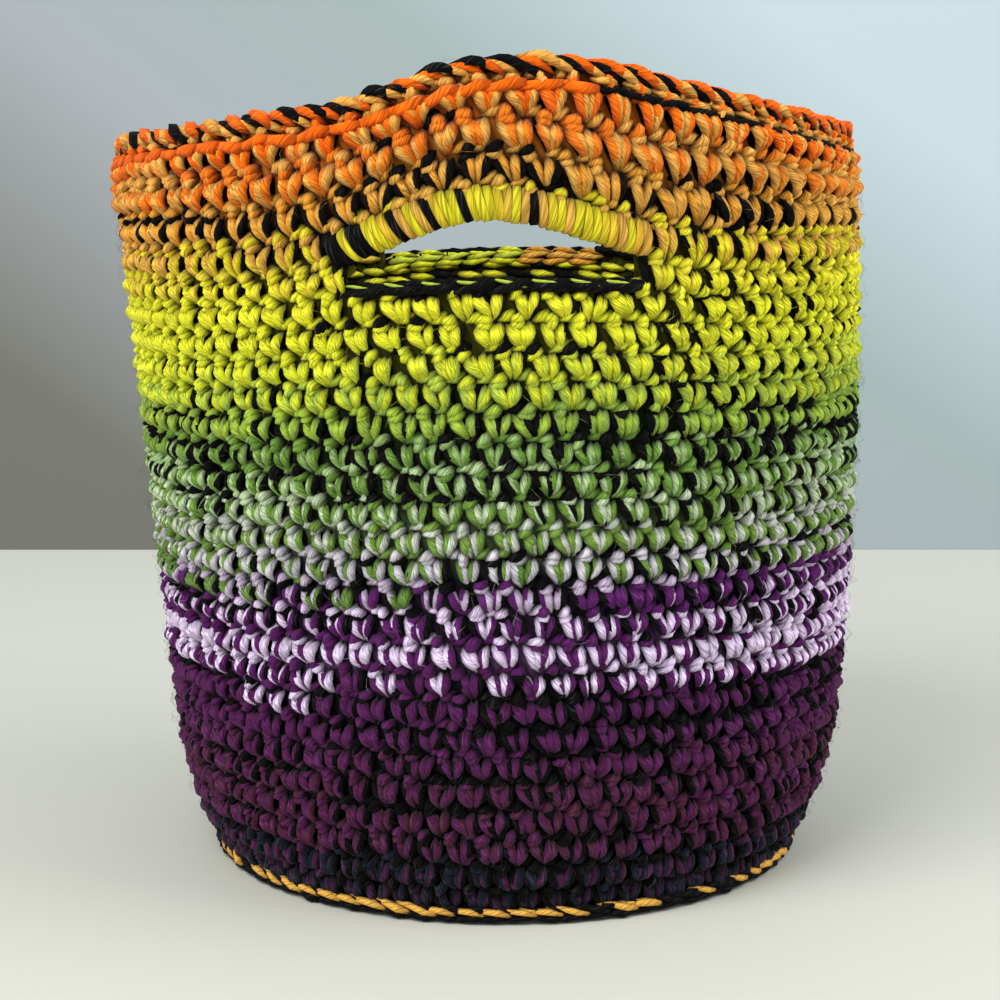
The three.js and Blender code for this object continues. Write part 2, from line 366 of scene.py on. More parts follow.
# Colours along each colour-changing strand, by the round that they reach, counted down from the rim. Each
# strand has one sudden change.
GREEN_TO_PURPLE = 15.86
LILAC_TO_PLUM = 19.0
STRAND_ONE_COLOURS = [
    (0.0, "#FA6800"),
    (1.7, "#F87208"),
    (2.6, "#EC9A30"),
    (3.5, "#EAA838"),
    (4.0, "#EADA26"),
    (6.0, "#EEEE2C"),
    (8.6, "#E2E82C"),
    (10.0, "#A4C23E"),
    (11.0, "#6A9238"),
    (14.0, "#76983E"),
    (GREEN_TO_PURPLE - 0.02, "#668A3C"),
    (GREEN_TO_PURPLE + 0.02, "#5E1C66"),
    (18.6, "#5C1A5F"),
    (19.4, "#551854"),
    (21.5, "#551A4D"),
    (22.6, "#501E3C"),
    (23.4, "#501E3E"),
    (24.2, "#5B1D57"),
    (25.2, "#551E47"),
    (26.4, "#461E40"),
    (27.2, "#20182C"),
]
STRAND_TWO_COLOURS = [
    (0.0, "#E8A446"),
    (2.0, "#E8A84C"),
    (4.2, "#E2AC46"),
    (5.2, "#ECE430"),
    (7.2, "#E8EA30"),
    (8.6, "#BED244"),
    (10.4, "#82A24A"),
    (11.8, "#AECA8C"),
    (13.0, "#BED0A8"),
    (14.0, "#C6CCBE"),
    (15.0, "#CEC8D0"),
    (16.0, "#C4AECA"),
    (17.0, "#E8D2F0"),
    (LILAC_TO_PLUM - 0.02, "#EED8F8"),
    (LILAC_TO_PLUM + 0.02, "#5A1C58"),
    (22.6, "#591D53"),
    (23.8, "#54203D"),
    (25.0, "#4F1E38"),
    (25.6, "#151C2C"),
    (27.2, "#151A28"),
    (27.6, "#EAB04A"),
]
# Tones in the depth of the fabric, by round: each round's yarn colour, darkened as painted shade of the
# fabric's depth
DEPTH_SHADE_COLOURS = [
    (0.0, "#B45212"),
    (2.2, "#A4601C"),
    (2.9, "#17110A"),
    (3.6, "#17110A"),
    (4.6, "#403C08"),
    (7.6, "#343608"),
    (9.0, "#161F0A"),
    (12.5, "#18220F"),
    (13.4, "#445434"),
    (14.4, "#3A4432"),
    (15.2, "#1C1620"),
    (17.0, "#2A1A30"),
    (18.2, "#553A60"),
    (18.8, "#1A101C"),
    (20.0, "#130B13"),
    (28.0, "#0A080C"),
]
LAST_WALL_PLACE = 27.1  # the wall's yarn ends before the gold
GOLD_PLACE = 27.9  # the leftover gold that edges the base
LAST_PLACE = 28.0
BLACK_YARN_COLOUR = "#0B0A0A"

FIBRE_LINES = 19  # bundles of fibres round one strand, coarser than the fibres so that they show
FIBRE_LENGTH = 5 * MM
FIBRE_CHANGE = 17.0  # how fast the fibres change from place to place
TWIST_LENGTH = 13 * MM  # one turn of the strand
FIBRE_DEPTH = 0.3 * MM
DEPTH_RIBS = 3  # strands seen across a stitch in the depth of the fabric
FIBRE_GIRTH = 0.036  # of a strand, for a loose fibre, thick enough to show


def matt_material(name, roughness):
    """A new matt material, its nodes and its surface."""
    material = bpy.data.materials.new(name)
    material.use_nodes = True
    tree = material.node_tree
    surface = tree.nodes["Principled BSDF"]
    surface.inputs["Roughness"].default_value = roughness
    return material, tree, surface


def colours_by_place(tree, colours):
    """The place along the yarn, and the colour that it has there."""
    place = add(tree, "ShaderNodeAttribute", {"attribute_name": "place"}).outputs["Fac"]
    share = add(tree, "ShaderNodeMath", {"operation": "DIVIDE"}, {0: place, 1: LAST_PLACE})
    ramp = add(tree, "ShaderNodeValToRGB", None, {"Fac": share})
    stops = ramp.color_ramp.elements
    while len(stops) < len(colours):
        stops.new(0.5)
    for stop, (at, colour) in zip(stops, colours):
        stop.position = at / LAST_PLACE
        stop.color = linear(colour)
    return place, ramp.outputs["Color"]


def yarn_material(name, colours, bloom, gloss):
    """Worsted acrylic, softly spun and dyed through: matt, with a bloom of loose fibre at its edges and
    the twist of its fibres as fine slanting lines. The colour runs with the place along the yarn, with
    painted shade where a strand turns into the fabric and on its flanks against its neighbours, and pale
    painted highlights on its fibres."""
    material, tree, surface = matt_material(name, 0.9)
    surface.inputs["Specular IOR Level"].default_value = gloss
    surface.inputs["Sheen Weight"].default_value = bloom
    surface.inputs["Sheen Roughness"].default_value = 0.5

    place, colour = colours_by_place(tree, colours)
    uv = add(tree, "ShaderNodeUVMap", {"uv_map": "yarn_uv"})
    spot = add(tree, "ShaderNodeSeparateXYZ", None, {0: uv}).outputs
    length = add(tree, "ShaderNodeAttribute", {"attribute_name": "length"}).outputs["Fac"]
    along = add(tree, "ShaderNodeMath", TIMES, {0: spot["X"], 1: length})
    turned = add(
        tree,
        "ShaderNodeMath",
        {"operation": "MULTIPLY_ADD"},
        {0: along, 1: 1 / TWIST_LENGTH, 2: spot["Y"]},
    )
    lengthwise = add(tree, "ShaderNodeMath", {"operation": "DIVIDE"}, {0: along, 1: FIBRE_LENGTH})
    crosswise = add(tree, "ShaderNodeMath", TIMES, {0: turned, 1: FIBRE_LINES})
    change = add(tree, "ShaderNodeMath", TIMES, {0: place, 1: FIBRE_CHANGE})
    fibre_place = add(tree, "ShaderNodeCombineXYZ", None, {0: lengthwise, 1: crosswise, 2: change})
    noise = add(tree, "ShaderNodeTexNoise", None, {"Vector": fibre_place, "Scale": 1.0, "Detail": 3.0})
    fibres = noise.outputs["Fac"]
    bump = add(tree, "ShaderNodeBump", None, {"Height": fibres, "Strength": 1.0, "Distance": FIBRE_DEPTH})
    tree.links.new(bump.outputs[0], surface.inputs["Normal"])

    lines = add(
        tree,
        "ShaderNodeMapRange",
        None,
        {"Value": fibres, "From Min": 0.36, "From Max": 0.64, "To Min": 0.45, "To Max": 1.2},
    )
    # painted shade: the colour darkens toward both ends of a strand, where it turns into the fabric
    from_end = add(tree, "ShaderNodeMath", {"operation": "PINGPONG"}, {0: spot["X"], 1: 0.5})
    root = add(tree, "ShaderNodeMapRange", None, {"Value": from_end, "From Max": 0.32, "To Min": 0.3})
    # painted shade: the colour darkens on a strand's flanks, where it lies against its neighbours
    from_under = add(tree, "ShaderNodeMath", {"operation": "PINGPONG"}, {0: spot["Y"], 1: 0.5})
    painted_flank_shade = add(
        tree,
        "ShaderNodeMapRange",
        None,
        {"Value": from_under, "From Min": 0.14, "From Max": 0.4, "To Min": 0.35},
    )
    lines_and_root_shade = add(tree, "ShaderNodeMath", TIMES, {0: lines, 1: root})
    light = add(tree, "ShaderNodeMath", TIMES, {0: lines_and_root_shade, 1: painted_flank_shade})
    shade = add(tree, "ShaderNodeVectorMath", {"operation": "SCALE"}, {"Vector": colour, "Scale": light})
    # painted highlights: pale flecks added to the colour where the fibres stand highest
    painted_fibre_highlights = add(
        tree,
        "ShaderNodeMapRange",
        None,
        {"Value": fibres, "From Min": 0.58, "From Max": 0.74, "To Max": 0.04},
    )
    with_painted_highlights = add(tree, "ShaderNodeVectorMath", {"operation": "ADD"}, {0: shade, 1: painted_fibre_highlights})
    tree.links.new(with_painted_highlights.outputs["Vector"], surface.inputs["Base Color"])
    return material


def backing_material():
    """Strands crossing in the depth of the fabric: matt and ribbed, in each round's colour darkened as
    painted shade, and with painted shade in the grooves between the ribs.
    """
    material, tree, surface = matt_material("Worsted acrylic yarn, in the depth of the fabric", 1.0)
    surface.inputs["Specular IOR Level"].default_value = 0.1
    _, colour = colours_by_place(tree, DEPTH_SHADE_COLOURS)
    uv = add(tree, "ShaderNodeUVMap", {"uv_map": "yarn_uv"})
    scale = DEPTH_RIBS / 20 * TURN  # a wave at scale 1 turns by 20 radians in one stitch
    ribs = add(
        tree,
        "ShaderNodeTexWave",
        {"wave_type": "BANDS", "bands_direction": "X", "wave_profile": "SIN"},
        {"Vector": uv, "Scale": scale, "Distortion": 3.0, "Detail": 2.0},
    ).outputs["Fac"]
    bump = add(tree, "ShaderNodeBump", None, {"Height": ribs, "Strength": 0.4, "Distance": STRAND / 2})
    tree.links.new(bump.outputs[0], surface.inputs["Normal"])
    # painted shade: the grooves between the ribs are darker, as where strands in the depth lie against each
    # other
    painted_rib_shade = add(tree, "ShaderNodeMapRange", None, {"Value": ribs, "To Min": 0.7, "To Max": 1.15})
    shade = add(tree, "ShaderNodeVectorMath", {"operation": "SCALE"}, {"Vector": colour, "Scale": painted_rib_shade})
    tree.links.new(shade.outputs["Vector"], surface.inputs["Base Color"])
    return material


yarn_one = yarn_material("Worsted acrylic yarn, orange to plum", STRAND_ONE_COLOURS, 0.05, 0.12)
yarn_two = yarn_material("Worsted acrylic yarn, gold to lilac", STRAND_TWO_COLOURS, 0.05, 0.12)
yarn_black = yarn_material(
    "Worsted acrylic yarn, black", [(0.0, BLACK_YARN_COLOUR), (LAST_PLACE, BLACK_YARN_COLOUR)], 0.01, 0.08
)
depth_of_fabric_shade = backing_material()


# Laying the strands

STRAND_NAMES = ("Strand one", "Strand two", "Black strand")


def lay_tree():
    """Copies the strand shapes onto points that say where each strand runs, faces and how thick it is."""
    tree = bpy.data.node_groups.new("Lay strands", "GeometryNodeTree")
    sockets = [("Geometry", "Geometry"), ("Strand thickness", "Float"), ("Wobble", "Float")]
    sockets += [("Seed", "Int"), ("Shapes", "Collection")]
    sockets += [(name, "Material") for name in STRAND_NAMES]
    for name, kind in sockets:
        tree.interface.new_socket(name, in_out="INPUT", socket_type="NodeSocket" + kind)
    tree.interface.new_socket("Geometry", in_out="OUTPUT", socket_type="NodeSocketGeometry")
    given = add(tree, "NodeGroupInput").outputs
    along, outward, length, girth, shape, strand = (
        add(tree, "GeometryNodeInputNamedAttribute", {"data_type": kind}, {"Name": name})
        for name, kind in (
            ("along", "FLOAT_VECTOR"),
            ("outward", "FLOAT_VECTOR"),
            ("length", "FLOAT"),
            ("girth", "FLOAT"),
            ("shape", "INT"),
            ("strand", "INT"),
        )
    )
    facing = add(
        tree,
        "FunctionNodeAxesToRotation",
        {"primary_axis": "X", "secondary_axis": "Z"},
        {"Primary Axis": along, "Secondary Axis": outward},
    )
    thick = add(tree, "ShaderNodeMath", TIMES, {0: girth, 1: given["Strand thickness"]})
    size = add(tree, "ShaderNodeCombineXYZ", None, {0: length, 1: thick, 2: thick})
    shapes = add(
        tree,
        "GeometryNodeCollectionInfo",
        None,
        {"Collection": given["Shapes"], "Separate Children": True, "Reset Children": True},
    )
    copies = add(
        tree,
        "GeometryNodeInstanceOnPoints",
        None,
        {
            "Points": given["Geometry"],
            "Instance": shapes,
            "Pick Instance": True,
            "Instance Index": shape,
            "Rotation": facing,
            "Scale": size,
        },
    )
    least = add(tree, "ShaderNodeMath", TIMES, {0: given["Wobble"], 1: -1.0})
    turn = add(
        tree,
        "FunctionNodeRandomValue",
        {"data_type": "FLOAT_VECTOR"},
        {0: least, 1: given["Wobble"], "Seed": given["Seed"]},
    )
    wobbled = add(tree, "GeometryNodeRotateInstances", None, {"Instances": copies, "Rotation": turn})
    result = add(tree, "GeometryNodeRealizeInstances", None, {0: wobbled})
    for number, name in enumerate(STRAND_NAMES):
        same = add(
            tree,
            "FunctionNodeCompare",
            {"data_type": "INT", "operation": "EQUAL"},
            {2: strand, 3: number},
        )
        dyed = {"Geometry": result, "Selection": same, "Material": given[name]}
        result = add(tree, "GeometryNodeSetMaterial", None, dyed)
    add(tree, "NodeGroupOutput", None, {0: result})
    return tree


def laid_yarn(name, parts, wobble=0.05):
    """One piece of the bag made of all these stretches, as a plain mesh."""
    strands = gathered(parts)
    points = bpy.data.meshes.new(name + "_points")
    points.from_pydata(strands["middle"].tolist(), [], [])
    strands["length"] = np.linalg.norm(strands["along"], axis=1)
    for key, kind, field in (
        ("along", "FLOAT_VECTOR", "vector"),
        ("outward", "FLOAT_VECTOR", "vector"),
        ("length", "FLOAT", "value"),
        ("girth", "FLOAT", "value"),
        ("place", "FLOAT", "value"),
        ("shape", "INT", "value"),
        ("strand", "INT", "value"),
    ):
        data = strands[key].astype(np.int32 if kind == "INT" else np.float32)
        points.attributes.new(key, kind, "POINT").data.foreach_set(field, data.ravel())
    piece = bpy.data.objects.new(name, points)
    bpy.context.scene.collection.objects.link(piece)
    modifier = piece.modifiers.new("Lay strands", "NODES")
    modifier.node_group = LAY_TREE
    sockets = {item.name: item.identifier for item in LAY_TREE.interface.items_tree if item.in_out == "INPUT"}
    for socket, value in (
        ("Strand thickness", STRAND),
        ("Wobble", wobble),
        ("Seed", 5),
        ("Shapes", SHAPES),
        *zip(STRAND_NAMES, (yarn_one, yarn_two, yarn_black)),
    ):
        modifier[sockets[socket]] = value
    return as_plain_mesh(piece)


def as_plain_mesh(piece):
    """Replaces a piece's mesh and modifiers by their result."""
    graph = bpy.context.evaluated_depsgraph_get()
    mesh = bpy.data.meshes.new_from_object(
        piece.evaluated_get(graph), preserve_all_data_layers=True, depsgraph=graph
    )
    mesh.name = piece.name
    piece.modifiers.clear()
    piece.data = mesh
    return piece


SHAPES = stretch_shapes()
LAY_TREE = lay_tree()


# Stitches of the wall

FOOT_ROUND = -0.82  # stitches half hidden behind the welt
ROUNDS = np.concatenate([[FOOT_ROUND], np.arange(WALL_ROUNDS)])
ROUND_GRID, COLUMN_GRID = np.meshgrid(ROUNDS, np.arange(STITCHES_PER_ROUND), indexing="ij")
STITCH_ANGLES = STITCH_ANGLE * (COLUMN_GRID + 0.5 + STITCH_DRIFT * ROUND_GRID)
OPEN_ROUND, BAND_ROUND = 21, 22  # the rounds of the slots and of the handle bands
OVER_SLOT = np.abs(degrees_from_slot(STITCH_ANGLES)) < math.degrees(SLOT_ANGLE)
NO_LEGS = OVER_SLOT & ((ROUND_GRID == OPEN_ROUND) | (ROUND_GRID == BAND_ROUND))
SPIRAL = 1.0  # rounds that the yarn climbs in one turn to the left


def jitter(spread):
    """A small handmade unevenness for every stitch."""
    return rng.normal(0, spread, ROUND_GRID.shape)


def place_of(rounds, angle):
    """Place along the colour-changing yarn, in rounds down from the rim."""
    return WALL_ROUNDS - rounds + SPIRAL * right_of_front(angle) / TURN


STITCH_SHIFT = jitter(0.05)
STITCH_RAISE = 0.28 - 0.14 * ROUND_GRID / WALL_ROUNDS + jitter(0.03)
STITCH_LEAN = jitter(0.09)
STITCH_WIDTH = 1 + jitter(0.1)
RIGHT_OF_FRONT = np.mod(np.degrees(STITCH_ANGLES - FRONT) + 180, 360) - 180
STITCH_PLACE = np.minimum(place_of(ROUND_GRID, STITCH_ANGLES) + jitter(0.06), LAST_WALL_PLACE)
TOP_GIRTH = np.where(ROUND_GRID >= BAND_ROUND + 2, 1.25, 1)  # the looser stitches under the rim


def to_the_right(first, last):
    """The stitches between two angles to the right of the front."""
    return (RIGHT_OF_FRONT > first) & (RIGHT_OF_FRONT < last)


# The lilac runs on for some stitches, along the right and for a short way at the left
LATE_PLACE, LATE_REACH, LATE_ROUND = 19.14, 0.16, 6
LATE_LILAC = to_the_right(8, 100) & (np.abs(STITCH_PLACE - LATE_PLACE) < LATE_REACH)
LATE_LILAC |= to_the_right(-46, -33) & (ROUND_GRID == LATE_ROUND)
CHANGE_GAP = 0.13  # no stitch is nearer to a sudden change, as each has one colour
STITCH_PLACE = np.where(LATE_LILAC, LILAC_TO_PLUM - CHANGE_GAP, STITCH_PLACE)
for change in (GREEN_TO_PURPLE, LILAC_TO_PLUM):
    near = np.abs(STITCH_PLACE - change) < CHANGE_GAP
    STITCH_PLACE = np.where(near, change + np.copysign(CHANGE_GAP, STITCH_PLACE - change), STITCH_PLACE)

# Share of stitches, by place: strand one on the outer side, all strand one, all strand two
ALIKE_BY_PLACE = [
    (15.3, 0.5, 0, 0),
    (15.6, 0.5, 0.5, 0),
    (16.3, 0.5, 0.5, 0),
    (16.6, 0.15, 0, 0),
    (17.4, 0.15, 0, 0),
    (17.7, 0.15, 0, 0.55),
    (18.3, 0.15, 0, 0.55),
    (18.6, 0.5, 0, 0),
]
# Share of black strands, by place: on the outer side, on the inner side and in the loops, and their girth
BLACK_BY_PLACE = [
    (0, 0.12, 0.02, 0.02, 0.65),
    (2.4, 0.16, 0.02, 0.02, 0.65),
    (2.8, 0.85, 0.1, 0.35, 1.05),
    (3.4, 0.85, 0.1, 0.35, 1.05),
    (4, 0.55, 0.05, 0.15, 0.75),
    (6, 0.42, 0.03, 0.1, 0.75),
    (7.5, 0.5, 0.05, 0.12, 0.75),
    (8.5, 0.52, 0.05, 0.12, 0.7),
    (9.3, 0.55, 0.08, 0.15, 0.75),
    (10, 0.7, 0.2, 0.35, 1.05),
    (12, 0.75, 0.2, 0.4, 1.05),
    (13, 0.35, 0.1, 0.15, 1),
    (13.5, 0.05, 0.02, 0.02, 0.75),
    (14.5, 0.05, 0.02, 0.02, 0.75),
    (15, 0.4, 0.1, 0.2, 1),
    (16, 0.7, 0.15, 0.4, 1),
    (17, 0.65, 0.15, 0.35, 1),
    (17.6, 0.05, 0.02, 0.03, 0.75),
    (18.8, 0.05, 0.02, 0.03, 0.75),
    (19.05, 0.65, 0.3, 0.6, 1),
    (19.6, 0.65, 0.35, 0.9, 1.05),
    (20.4, 0.65, 0.35, 0.9, 1.05),
    (21, 0.6, 0.25, 0.6, 1),
    (24, 0.55, 0.2, 0.45, 1),
    (26, 0.65, 0.3, 0.7, 1),
    (26.8, 0.65, 0.35, 0.8, 1),
]


def by_place(table):
    """The columns of a table, read at the place of every stitch."""
    places, *columns = zip(*table)
    return [np.interp(STITCH_PLACE, places, column) for column in columns]


ONE_OUTER, ALL_ONE, ALL_TWO = by_place(ALIKE_BY_PLACE)
BLACK_OUTER, BLACK_INNER, BLACK_LOOP, BLACK_GIRTH = by_place(BLACK_BY_PLACE)

# How the share of black changes round the bag, from each place down: degrees to the right of the front, and
# the factor there
BLACK_AROUND_BAG = [
    (
        0,
        [-180, -60, -45, -32, -20, 0, 11, 16, 23, 32, 44, 58, 180],
        [0.8, 0.4, 1.2, 1.5, 1.2, 1, 0.7, 0.35, 0.75, 0.8, 0.2, 0.1, 0.8],
    ),
    (
        4.5,
        [-180, -60, -38, -22, -8, 0, 12, 28, 50, 180],
        [0.8, 0.5, 0.45, 0.55, 0.9, 1, 0.85, 0.6, 0.8, 0.8],
    ),
    (9, [-180, -60, -25, 0, 12, 28, 50, 180], [0.8, 0.6, 0.9, 1, 0.85, 0.75, 0.85, 0.8]),
    (
        LILAC_TO_PLUM,
        [-180, -60, -34, -12, 0, 12, 34, 60, 180],
        [0.8, 0.5, 0.5, 0.9, 1.05, 0.95, 0.6, 0.6, 0.8],
    ),
]
BLACK_AROUND = np.ones(ROUND_GRID.shape)
for first_place, degrees, shares in BLACK_AROUND_BAG:
    share = np.interp(RIGHT_OF_FRONT, degrees, shares)
    BLACK_AROUND = np.where(STITCH_PLACE >= first_place, share, BLACK_AROUND)
# How far out a black strand lies, in mm, more to the right
BLACK_OUT = np.interp(RIGHT_OF_FRONT, [15, 40], [0.05, 1.2])


def on_stitch(u, v, w):
    """A point of every stitch: u in stitches to the right, v in rounds up, w out from the fabric's face."""
    return wall(
        ROUND_GRID + v + STITCH_RAISE,
        STITCH_ANGLES + (u * STITCH_WIDTH + STITCH_SHIFT + STITCH_LEAN * v) * STITCH_ANGLE,
        YARN_LEVEL - w * MM,
    )


STITCH_OUTWARD = wall_outward(ROUND_GRID, STITCH_ANGLES)


def runs(stay=0.6):
    """A number from 0 to 1 for every stitch that stays the same for a few stitches along the yarn."""
    draw = rng.random(ROUND_GRID.size)
    change = rng.random(ROUND_GRID.size) > stay
    change[0] = True
    last = np.maximum.accumulate(np.where(change, np.arange(ROUND_GRID.size), 0))
    return draw[last].reshape(ROUND_GRID.shape)


def lanes():
    """For every stitch, which strand lies on the outer side, the inner side and the rear of a leg."""
    black = runs(0.35)
    outer_share = BLACK_OUTER * BLACK_AROUND
    inner_share = BLACK_INNER * BLACK_AROUND
    one_first = runs() < ONE_OUTER
    alike = runs()
    all_one = alike < ALL_ONE
    all_two = ~all_one & (alike < ALL_ONE + ALL_TWO)
    first = np.where(all_one | one_first & ~all_two, COLOUR_ONE, COLOUR_TWO)
    second = np.where(all_two | one_first & ~all_one, COLOUR_TWO, COLOUR_ONE)
    black_outer = black < outer_share
    black_inner = ~black_outer & (black < outer_share + inner_share)
    outer = np.where(black_outer, BLACK, first)
    inner = np.where(black_inner, BLACK, np.where(black_outer, first, second))
    rear = np.where(black_outer | black_inner, second, BLACK)
    return outer, inner, rear


def leg(side, top, bottom):
    """Three strands of one leg of the V, from where they go in up to under the top loop. The third strand
    comes to the front unless it is black."""
    parts = []
    outer, inner, third = lanes()
    behind = third == BLACK
    front_shape = any_shape(FINE, ROUND_GRID.shape)
    rear_shape = any_shape(COARSE, ROUND_GRID.shape)
    third_shape = np.where(behind, rear_shape, front_shape)
    outer_aside = np.where(behind, 0.12, 0.21)
    outer_out = np.where(outer == BLACK, BLACK_OUT, 0.5)
    for strand, aside, out, sink, shape in (
        (outer, side * outer_aside, outer_out, 0.0, front_shape),
        (inner, -side * 0.07, 0.15, 0.0, front_shape),
        (third, side * 0.02, np.where(behind, -0.9, 0.7), np.where(behind, -0.6, 0.1), third_shape),
    ):
        lean = jitter(0.025)
        start = on_stitch(bottom[0] + 0.12 * aside + lean * 0.3, bottom[1] + jitter(0.03), bottom[2] + sink)
        end = on_stitch(top[0] + aside + lean, top[1] + jitter(0.03), top[2] + out)
        girth = np.where(behind, 1.2, 1.06) * TOP_GIRTH + jitter(0.06)
        girth = girth * np.where((strand == BLACK) & ~behind, BLACK_GIRTH, 1)
        parts.append(stretches(start, end, STITCH_OUTWARD, strand, STITCH_PLACE, girth, shape))
    return parts


# How far the top loops have slipped sideways, in stitches
LOOP_SLIP = 0.12 * np.sin(3 * STITCH_ANGLES + 2.3 * ROUND_GRID) + jitter(0.05)


def loop(start, end, girth, kind):
    """One strand of the loop that lies across the top of each stitch."""
    draw = runs()
    colour = np.where(runs() < 0.5, COLOUR_ONE, COLOUR_TWO)
    strand = np.where(draw < BLACK_LOOP * BLACK_AROUND, BLACK, colour)
    start = on_stitch(start[0] + LOOP_SLIP + jitter(0.03), start[1] + jitter(0.03), start[2])
    end = on_stitch(end[0] + LOOP_SLIP + jitter(0.03), end[1] + jitter(0.03), end[2])
    shape = any_shape(kind, ROUND_GRID.shape)
    return stretches(start, end, STITCH_OUTWARD, strand, STITCH_PLACE, girth * TOP_GIRTH, shape)


def wall_stitches():
    """Legs of every V, then its front loop and the back loop that shows above it."""
    legs = leg(-1, (-0.27, 0.34, -0.9), (0.07, -0.66, -1.3))
    legs += leg(1, (0.26, 0.36, -0.9), (0.14, -0.66, -1.3))
    loops = [
        loop((-0.56, 0.08, -1.8), (0.10, 0.44, -1.3), 1.2, FINE),
        loop((-0.54, 0.26, -1.7), (0.08, 0.62, -1.3), 1.25, FINE),
        loop((-0.86, 0.34, -1.1), (-0.20, 0.70, -0.9), 1.25, COARSE),
    ]
    return legs, loops


def wall_pieces():
    """The wall's rounds in four pieces, by their colours."""
    leg_parts, loop_parts = wall_stitches()
    no_loops = OVER_SLOT & (ROUND_GRID == OPEN_ROUND)
    under_sill = OVER_SLOT & (ROUND_GRID == OPEN_ROUND - 1)
    pieces = []
    for name, first, last in (
        ("plum_rounds", FOOT_ROUND, 5),
        ("purple_lilac_rounds", 6, 12),
        ("green_lime_rounds", 13, 18),
        ("yellow_orange_rounds", 19, 25),
    ):
        here = (ROUND_GRID >= first) & (ROUND_GRID <= last)
        parts = [chosen(part, here & ~NO_LEGS) for part in leg_parts]
        parts.append(chosen(loop_parts[0], here & ~no_loops))
        parts += [chosen(part, here & ~no_loops & ~under_sill) for part in loop_parts[1:]]
        pieces.append(laid_yarn(name, parts))
    return pieces


# Inside of the wall


def inside_piece():
    """The back of the fabric: each stitch shows as a short bar across, inside the bag."""
    parts = []
    draw = rng.random(ROUND_GRID.shape)
    upper = np.where(draw < 0.4, COLOUR_ONE, np.where(draw < 0.75, COLOUR_TWO, BLACK))
    lower = np.where(draw < 0.4, BLACK, np.where(draw < 0.75, COLOUR_ONE, COLOUR_TWO))
    hidden = NO_LEGS | (ROUND_GRID < 0)
    depth = WALL_THICKNESS - 1.7 * MM
    for strand, raised in ((upper, 0.2), (lower, -0.22)):
        start = wall(ROUND_GRID + raised - 0.05 + jitter(0.03), STITCH_ANGLES - 0.56 * STITCH_ANGLE, depth)
        end = wall(ROUND_GRID + raised + 0.08 + jitter(0.03), STITCH_ANGLES + 0.56 * STITCH_ANGLE, depth)
        shape = any_shape(COARSE, ROUND_GRID.shape)
        bars = stretches(start, end, -STITCH_OUTWARD, strand, STITCH_PLACE, 1.25, shape)
        parts.append(chosen(bars, ~hidden))
    return laid_yarn("inside_rounds", parts)


# Base


def base_strands(count):
    return np.where(rng.random(count) < 0.4, BLACK, rng.integers(0, 2, count))


def base_piece():
    """Rounds of the flat base: Vs underneath, bars on the floor inside."""
    parts = []
    edge = PROFILE_RADII[0] - 1.5 * MM
    step = edge / BASE_ROUNDS
    for number in range(1, BASE_ROUNDS + 1):
        count = 6 * number
        angle = TURN * (np.arange(count) + 0.3 * number) / count
        half = TURN / count / 2
        place = np.full(count, GOLD_PLACE)
        outer, inner = step * (number - 0.06), step * (number - 1.0)
        low, floor = 3.6 * MM, BASE_THICKNESS - 1.7 * MM
        shape = any_shape(COARSE, count)
        for side in (-1, 1):
            for aside in (0.3, 0.72):
                strand = base_strands(count)
                start = slouched(inner, low, angle + side * 0.1 * half)
                end = slouched(outer, low, angle + side * aside * half)
                parts.append(stretches(start, end, -UP, strand, place, 1.1, shape))
        for raised in (0.28, 0.72):
            strand = base_strands(count)
            radius = step * (number - raised)
            start = slouched(radius, floor, angle - 1.1 * half)
            end = slouched(radius, floor, angle + 1.1 * half)
            parts.append(stretches(start, end, UP, strand, place, 1.2, shape))
    return laid_yarn("base_rounds", parts)


# Edges

BLACK_ROPE_START = 14  # degrees right of a slot's middle, where the rim's front loops turn black
LITTLE_GOLD_START = 8  # and where the welt has less gold


def rim_piece():
    """The braid along the rim: a rope of front loops, slanting loops over the top, and inner loops."""
    parts = []
    angle = STITCH_ANGLE * (np.arange(STITCHES_PER_ROUND) + STITCH_DRIFT * RIM_ROUND)
    count = len(angle)
    outward = flat_outward(angle)
    place = place_of(RIM_ROUND + 0.5, angle) + rng.normal(0, 0.15, count)
    to_right = degrees_from_slot(angle) > BLACK_ROPE_START

    def link(start, end, facing, strand, girth, where=True, kind=LOW):
        """One strand of each link, its ends as stitches ahead, mm across and mm up."""
        ends = []
        for ahead, across, height in (start, end):
            uneven = rng.normal(0, 0.06, count)
            raised = rng.normal(0, 0.25, count)
            ends.append(rim(angle + (ahead + uneven) * STITCH_ANGLE, across * MM, (height + raised) * MM))
        shape = any_shape(kind, count)
        thick = girth * rng.normal(1, 0.06, count)
        links = stretches(ends[0], ends[1], facing, strand, place, thick, shape)
        parts.append(chosen(links, np.broadcast_to(where, count)))

    front = outward + 0.3 * UP
    rope = np.where(to_right, BLACK, COLOUR_ONE)
    link((-0.85, 3.0, -2.6), (0.8, 3.6, -1.4), front, rope, np.where(to_right, 0.95, 1.6))
    link((-0.5, 2.2, 1.2), (0.5, 3.4, -0.2), front, COLOUR_TWO, 1.0, to_right)

    order = np.stack([rng.permutation(3) for _ in range(count)])
    order[to_right] = (COLOUR_ONE, BLACK, COLOUR_TWO)
    for lane, (ahead, raised) in enumerate(((0.36, 0.5), (0.0, 0.0), (-0.36, -0.6))):
        start = (ahead - 1.1, -2.6, 5.6 + raised)
        end = (ahead + 0.55, 2.6, 0.8 + raised)
        girth = (1.45, 1.2, 1.3)[lane]
        link(start, end, outward + UP, order[:, lane], girth, True, FINE)
    for ahead in (-0.25, 0.25):
        start = (ahead - 0.7, -1.0, 5.4)
        end = (ahead + 0.6, -4.0, 0.8)
        link(start, end, 0.6 * UP - outward, rng.integers(0, 3, count), 1.2)
    return laid_yarn("rim_braid", parts)


